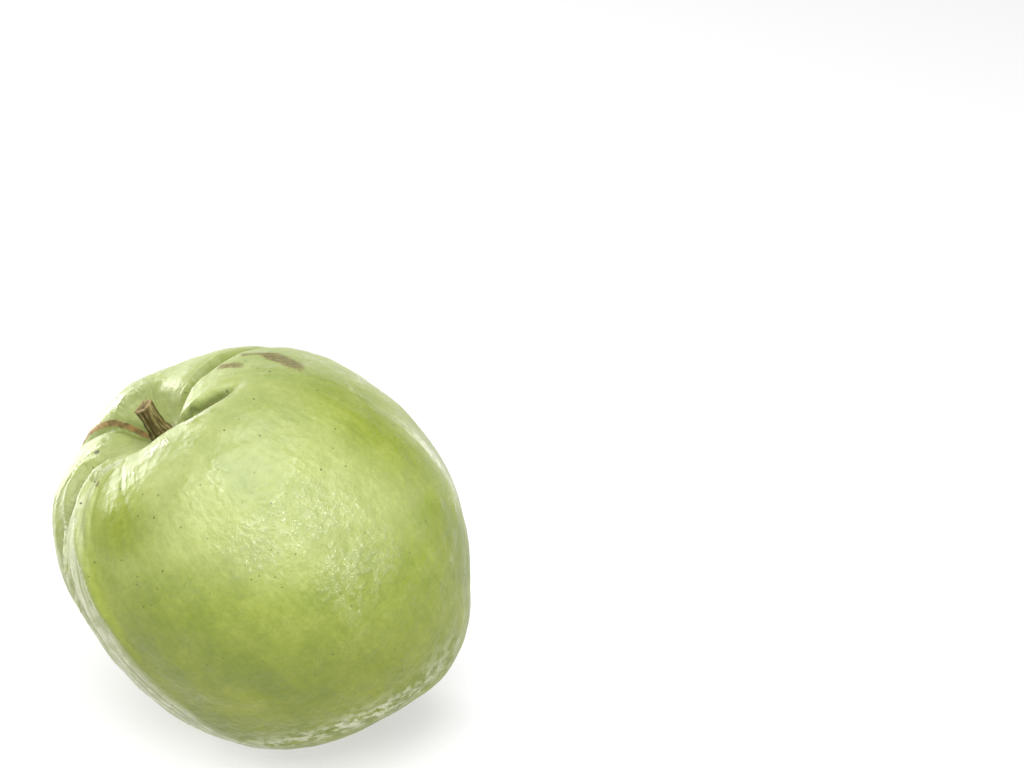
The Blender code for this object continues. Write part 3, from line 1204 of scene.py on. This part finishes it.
    def flow_places(self, way: np.ndarray, turn: np.ndarray) -> np.ndarray:
        """Give places that change fast across the meridians and slowly along them.

        Args:
            way: Places along the profile.
            turn: Turns round the axis, in degrees.

        Returns:
            The places, one to a row.
        """
        angle = np.radians(turn)
        across = self.form.widest_radius
        along = self.flow_length * way
        return np.stack([across * np.cos(angle), across * np.sin(angle), along], axis=-1)

    def lined_share(self, way: np.ndarray, turn: np.ndarray) -> np.ndarray:
        """Say where the skin is finely wrinkled along the meridians."""
        share = np.clip(self.added(self.wrinkled, way, turn), 0.0, 1.0)
        return share * ease((2.0 - way) / self.pit_fade)

    def ribbed_and_highlight_share(self, way: np.ndarray, turn: np.ndarray) -> np.ndarray:
        """Say where the skin is ridged and carries a painted highlight: behind the main rib, and
        on the right.

        Args:
            way: Places along the profile.
            turn: Turns round the axis, in degrees.

        Returns:
            How ridged and highlighted each place is, from 0 up.
        """
        band = self.rib_highlight_band
        behind = (self.main_rib_turn - turn) % 360.0
        across = ease(behind / band.edge) * ease((band.reach - behind) / band.fade)
        left = across * ease((way + 0.02) / 0.16) * ease((1.05 - way) / 0.35)
        left *= band.upper_share + band.lower_gain * ease((way - 0.2) / 0.3)
        return self.highest(left, self.ribbed_highlight_streaks, way, turn)

    def crinkled_and_highlight_share(self, way: np.ndarray, turn: np.ndarray) -> np.ndarray:
        """Say where the skin is crinkly and carries a painted highlight: in an arc short of the
        blossom end.

        Args:
            way: Places along the profile.
            turn: Turns round the axis, in degrees.

        Returns:
            How crinkly and highlighted each place is, from 0 to 1.
        """
        near = 0.5 - 0.5 * np.cos(np.radians(turn + 60.0))
        front = np.exp(-((turn - self.crinkle_turn) / self.crinkle_turn_spread) ** 2)
        middle = self.crinkle_way - self.crinkle_slant * near
        return front * np.exp(-((way - middle) / self.crinkle_spread) ** 2)

    def shaded_share(self, height: np.ndarray, way: np.ndarray,
                     turn: np.ndarray) -> np.ndarray:
        """Say where shade is painted: darker low down, and in a few patches of the sides."""
        low = 1.0 - ease((height - self.shade_low) / self.shade_rise)
        return self.highest(low, self.shade_patches, way, turn)


@dataclass
class StemStub:
    """The woody stem stub: a squarish, slightly bent peg with a broken, dished end."""

    form: GuavaForm
    place: Matrix
    length: float = 0.0086
    radius: float = 0.0020
    foot_radius: float = 0.0027
    dish_depth: float = 0.0005
    sideways: float = math.radians(8.5)
    sideways_turn: float = math.radians(-10.0)
    corners: int = 4
    corner_share: float = 0.07
    sides: int = 112
    fibre_size: float = 0.55 * MM
    fibre_share: float = 0.10
    knot_size: float = 1.8 * MM
    knot_share: float = 0.09
    ragged_from: float = 0.9
    ragged_height: float = 0.4 * MM

    def build(self, finish: BarkFinish) -> bpy.types.Object:
        """Model and dress the stub.

        Args:
            finish: Its finish.

        Returns:
            The piece.
        """
        outline = Workshop.smooth_outline((
            (0.0, self.length - self.dish_depth),
            (0.6 * self.radius, self.length - 0.8 * self.dish_depth),
            (0.88 * self.radius, self.length),
            (1.03 * self.radius, self.length - 0.6 * self.dish_depth),
            (self.radius, 0.75 * self.length),
            (self.radius, 0.5 * self.length),
            (1.08 * self.radius, 0.3 * self.length),
            (0.94 * self.foot_radius, 0.12 * self.length),
            (self.foot_radius, 0.04 * self.length),
            (0.95 * self.foot_radius, 0.0),
            (0.0, 0.0),
        ), 8)
        bm = Workshop.turned(outline, self.sides)
        plain = np.array([vert.co for vert in bm.verts])
        grain = plain * np.array([1.0, 1.0, 0.16])
        fibres = fractal(grain, self.fibre_size, 3, 1.3)
        knots = fractal(plain, self.knot_size, 2, 4.9)
        for vert, fibre, knot in zip(bm.verts, fibres, knots):
            self.shape_point(vert, fibre, knot)
        broken = np.clip((plain[:, 2] - self.length + self.dish_depth) / self.dish_depth, 0, 1)
        bm.transform(self.place @ Matrix.Translation((0, 0, self.form.cavity_floor
                                                      + self.form.fit_gap)))
        piece = Workshop.piece("stem_stub", bm, finish.material(), Slot.STEM)
        Workshop.store(piece.data, "grain", grain)
        Workshop.store(piece.data, "broken", broken)
        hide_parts("stem")
        return piece

    def shape_point(self, vert: bmesh.types.BMVert, fibre: float, knot: float) -> None:
        """Give one point its corner, fibre, knot and lean.

        Args:
            vert: The point, changed in place.
            fibre: The fibre noise there.
            knot: The knot noise there.
        """
        rise = vert.co.z
        around = math.atan2(vert.co.y, vert.co.x)
        up_share = rise / self.length
        swell = 1.0 + self.corner_share * up_share * math.cos(self.corners * around)
        relief = self.fibre_share * fibre + self.knot_share * knot
        swell += relief * min(1.0, up_share * 6.0)
        sideways = rise * math.tan(self.sideways)
        vert.co.x = vert.co.x * swell + sideways * math.cos(self.sideways_turn)
        vert.co.y = vert.co.y * swell + sideways * math.sin(self.sideways_turn)
        ragged = (up_share - self.ragged_from) / (1.0 - self.ragged_from)
        if ragged > 0.0:
            vert.co.z += self.ragged_height * fibre * ragged


@dataclass
class CalyxEnd:
    """The dried calyx in the blossom pit: a dark dished disc, five sepals, dry filaments."""

    form: GuavaForm
    place: Matrix
    disc_radius: float = 0.0024
    disc_thickness: float = 0.0010
    disc_rim_height: float = 0.0004
    disc_sides: int = 72
    disc_spokes: int = 14
    spoke_height: float = 0.05 * MM
    disc_bump: float = 0.09 * MM
    sepal_clearance: float = 0.00065
    sepal_width: float = 0.0027
    sepal_thickness: float = 0.0005
    sepal_length: float = 0.0039
    sepal_cup: float = 0.12
    sepal_crumple: float = 0.12 * MM
    sepal_raggedness: float = 0.10
    sepal_taper: float = 0.75
    sepal_length_changes: tuple[float, ...] = (0.0, -0.0005, 0.0003, -0.0007, 0.0001)
    sepal_leans: tuple[float, ...] = (0.0013, 0.0017, 0.0010, 0.0014, 0.0018)
    filament_count: int = 34
    filament_radius: float = 0.00007
    filament_length: float = 0.0030
    filament_sides: int = 5
    filament_cuts: int = 5
    filament_taper: float = 0.7
    seed: int = 11

    @property
    def foot(self) -> Matrix:
        """Where the calyx's own pieces stand."""
        return self.place @ Matrix.Translation((0, 0, self.form.pit_floor - self.form.fit_gap))

    def build_disc(self, finish: DriedFinish) -> bpy.types.Object:
        """Model and dress the disc, with its spokes and the stub of the style.

        Args:
            finish: Its finish.

        Returns:
            The piece.
        """
        thick, rim = self.disc_thickness, self.disc_rim_height
        outline = Workshop.smooth_outline((
            (0.0, 0.0),
            (0.9 * self.disc_radius, 0.0),
            (self.disc_radius, -0.3 * thick),
            (0.96 * self.disc_radius, -thick - 0.5 * rim),
            (0.8 * self.disc_radius, -thick - rim),
            (0.5 * self.disc_radius, -thick),
            (0.2 * self.disc_radius, -thick),
            (0.13 * self.disc_radius, -thick - rim),
            (0.0, -thick - rim),
        ), 5)
        bm = Workshop.turned(outline, self.disc_sides)
        plain = np.array([vert.co for vert in bm.verts])
        rough = fractal(plain, 0.8 * MM, 3, 2.2)
        for vert, bump in zip(bm.verts, rough):
            around = math.atan2(vert.co.y, vert.co.x)
            spoke = math.cos(self.disc_spokes * around + 3 * bump)
            outward = vert.co.xy.length / self.disc_radius
            face_share = min(1.0, max(0.0, -vert.co.z / thick))
            relief = self.spoke_height * spoke * outward + self.disc_bump * bump
            vert.co.z += face_share * relief
        bm.transform(self.foot)
        piece = Workshop.piece("calyx_cup", bm, finish.material(), Slot.CALYX)
        Workshop.store(piece.data, "grain", plain)
        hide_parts("calyx_disc")
        return piece

    def build_sepal(self, number: int, finish: DriedFinish) -> bpy.types.Object:
        """Model and dress one dried, cupped, ragged sepal.

        Args:
            number: Which one, from 0.
            finish: Its finish.

        Returns:
            The piece.
        """
        length = self.sepal_length + self.sepal_length_changes[number]
        lean = self.sepal_leans[number]
        ring = self.disc_radius + self.sepal_clearance + self.sepal_thickness / 2
        bm = bmesh.new()
        bmesh.ops.create_grid(bm, x_segments=14, y_segments=22, size=0.5)
        flat = np.array([vert.co for vert in bm.verts])
        grain = np.stack([flat[:, 0] * 6 * MM, flat[:, 1] * 1.2 * MM,
                          np.full(len(flat), number * 7 * MM)], axis=-1)
        crumple = fractal(grain * np.array([0.5, 2.0, 1.0]), 1.1 * MM, 2, number)
        for vert, fold in zip(bm.verts, crumple):
            across = 2.0 * vert.co.x
            along = vert.co.y + 0.5
            ragged = 1.0 + self.sepal_raggedness * fold * along
            half_width = 0.5 * self.sepal_width * ragged
            half_width *= 1.0 - self.sepal_taper * along ** 1.5
            cup = self.sepal_cup * self.sepal_width * across ** 2 * (1.0 - along)
            crumpled = self.sepal_crumple * fold * along
            vert.co.x = ring - lean * along ** 2 - cup + crumpled
            vert.co.y = across * half_width
            vert.co.z = -length * along * (1.0 + 0.04 * fold * along)
        bmesh.ops.recalc_face_normals(bm, faces=bm.faces)
        bmesh.ops.solidify(bm, geom=bm.faces, thickness=self.sepal_thickness * 0.8)
        turn = Matrix.Rotation(2 * math.pi * number / len(self.sepal_leans), 4, "Z")
        places = np.array([vert.co for vert in bm.verts])
        bm.transform(self.foot @ turn)
        piece = Workshop.piece(f"dried_sepal_{number + 1}", bm, finish.material(), Slot.SEPAL)
        Workshop.store(piece.data, "grain", places * np.array([1.0, 1.0, 0.2]))
        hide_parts(f"sepal_{number + 1}")
        return piece

    def build_filaments(self, finish: DriedFinish) -> bpy.types.Object:
        """Model and dress the dry filaments that stand inside the sepals.

        Args:
            finish: Their finish.

        Returns:
            The piece.
        """
        chance = np.random.default_rng(self.seed)
        bm = bmesh.new()
        for number in range(self.filament_count):
            length = self.filament_length * chance.uniform(0.5, 1.0)
            around = 2 * math.pi * (number + chance.uniform(-0.4, 0.4)) / self.filament_count
            bend = chance.uniform(0.3, 1.0) * MM
            start = len(bm.verts)
            bmesh.ops.create_cone(
                bm, cap_ends=True, segments=self.filament_sides,
                radius1=self.filament_radius,
                radius2=self.filament_radius * self.filament_taper, depth=length)
            bm.verts.ensure_lookup_table()
            edges = {edge for vert in bm.verts[start:] for edge in vert.link_edges
                     if abs(edge.verts[0].co.z - edge.verts[1].co.z) > 0.5 * length}
            bmesh.ops.subdivide_edges(bm, edges=list(edges), cuts=self.filament_cuts)
            bm.verts.ensure_lookup_table()
            verts = bm.verts[start:]
            ring = self.disc_radius * chance.uniform(0.55, 0.85)
            side = chance.uniform(-0.6, 0.6) * MM
            for vert in verts:
                share = max(0.0, vert.co.z / length + 0.5)
                inward = ring - bend * share ** 2
                vert.co = Vector((inward + vert.co.x, vert.co.y + side * share ** 1.5,
                                  -self.disc_thickness * 0.9 - length * share))
            bmesh.ops.rotate(bm, verts=verts, cent=(0, 0, 0),
                             matrix=Matrix.Rotation(around, 3, "Z"))
        places = np.array([vert.co for vert in bm.verts])
        bm.transform(self.foot)
        piece = Workshop.piece("dry_filaments", bm, finish.material(), Slot.SEPAL)
        Workshop.store(piece.data, "grain", places)
        return piece


@dataclass(frozen=True)
class Softbox:
    """One soft lamp, aimed at the fruit's middle."""

    name: str
    direction: tuple[float, float]
    distance: float
    size: tuple[float, float]
    watts: float
    colour: Colour = (1.0, 1.0, 1.0)

    def build(self, target: Vector) -> None:
        """Hang the lamp.

        Args:
            target: What it points at. Its direction's azimuth runs from the camera's side
                towards +X, and its elevation is above the floor, both in degrees.
        """
        azimuth, elevation = (math.radians(angle) for angle in self.direction)
        out = Vector((math.sin(azimuth) * math.cos(elevation),
                      -math.cos(azimuth) * math.cos(elevation), math.sin(elevation)))
        light = bpy.data.lights.new(self.name, "AREA")
        light.shape = "RECTANGLE"
        light.size, light.size_y = self.size
        light.energy = self.watts
        light.color = self.colour
        lamp = Workshop.show(self.name, light)
        lamp.location = target + out * self.distance
        lamp.rotation_euler = out.to_track_quat("Z", "Y").to_euler()
        lamp.visible_camera = False


@dataclass
class Studio:
    """The floor, the soft lamps, the pale surroundings and the camera."""

    floor_side: float = 8.0
    floor_drop: float = 0.0002
    sky: Colour = (1.0, 1.0, 1.0)
    sky_strength: float = 0.15
    camera_elevation: float = math.radians(30.0)
    camera_distance: float = 0.538
    camera_pitch: float = math.radians(26.3)
    camera_yaw: float = math.radians(-6.72)
    lens: float = 85.0
    lamps: tuple[Softbox, ...] = (
        Softbox("overhead_softbox", (-4.0, 67.0), 0.9, (0.80, 0.80), 12.4),
        Softbox("front_right_softbox", (38.0, 16.0), 0.9, (0.32, 0.18), 3.6),
        Softbox("left_strip", (-132.0, 2.0), 0.6, (0.15, 0.3), 4.2),
        Softbox("back_left_softbox", (-144.0, 25.0), 1.0, (0.28, 0.28), 2.6),
        Softbox("backdrop_glow", (180.0, 8.0), 1.4, (3.0, 0.9), 10.0),
    )

    def build_floor(self, finish: FloorFinish) -> None:
        """Lay the floor.

        Args:
            finish: Its finish.
        """
        bm = bmesh.new()
        bmesh.ops.create_grid(bm, x_segments=1, y_segments=1, size=self.floor_side / 2)
        bmesh.ops.translate(bm, verts=bm.verts, vec=(0, 0, -self.floor_drop))
        mesh = bpy.data.meshes.new("studio_floor")
        bm.to_mesh(mesh)
        bm.free()
        mesh.materials.append(finish.material())
        floor = Workshop.show("studio_floor", mesh)

    def build_light(self, target: Vector) -> None:
        """Hang the lamps and light the surroundings evenly.

        Args:
            target: Where it points.
        """
        world = bpy.data.worlds.new("pale_surroundings")
        world.use_nodes = True
        ground = world.node_tree.nodes["Background"]
        ground.inputs["Color"].default_value = (*self.sky, 1.0)
        ground.inputs["Strength"].default_value = self.sky_strength
        bpy.context.scene.world = world
        for lamp in self.lamps:
            lamp.build(target)
        bpy.context.scene.view_settings.view_transform = "Standard"

    def build_camera(self, target: Vector) -> None:
        """Set the camera up, looking down on the fruit and a little past it.

        Args:
            target: Where it looks.
        """
        back = Vector((0.0, -math.cos(self.camera_elevation), math.sin(self.camera_elevation)))
        lens = bpy.data.cameras.new("camera")
        lens.lens = self.lens
        camera = Workshop.show("camera", lens)
        camera.location = target + back * self.camera_distance
        camera.rotation_euler = (math.pi / 2 - self.camera_pitch, 0.0, self.camera_yaw)
        bpy.context.scene.camera = camera


def main() -> None:
    """Build the guava and its studio in order."""
    logging.basicConfig(level=logging.INFO, format="%(name)s %(message)s")
    form = GuavaForm()
    place = FruitAxis().place(form)
    low, high = (Vector(corner) for corner in CAD_BOX)
    target = (low + high) / 2

    FruitSkin(form, place).build(SkinFinish())
    StemStub(form, place).build(BarkFinish())
    calyx = CalyxEnd(form, place)
    calyx.build_disc(DriedFinish(
        "calyx_disc_dry", paint(52, 36, 24), paint(88, 64, 42), paint(128, 100, 66)))
    for number in range(len(calyx.sepal_leans)):
        warmth = 5 * number
        calyx.build_sepal(number, DriedFinish(
            f"sepal_dry_{number + 1}", paint(70 + warmth, 50, 32),
            paint(118 + warmth, 90, 56), paint(156, 128, 86)))
    calyx.build_filaments(DriedFinish(
        "filament_dry", paint(120, 96, 62), paint(182, 158, 112), paint(204, 184, 140)))

    studio = Studio()
    studio.build_floor(FloorFinish())
    studio.build_light(target)
    studio.build_camera(target)


if __name__ == "__main__":
    main()
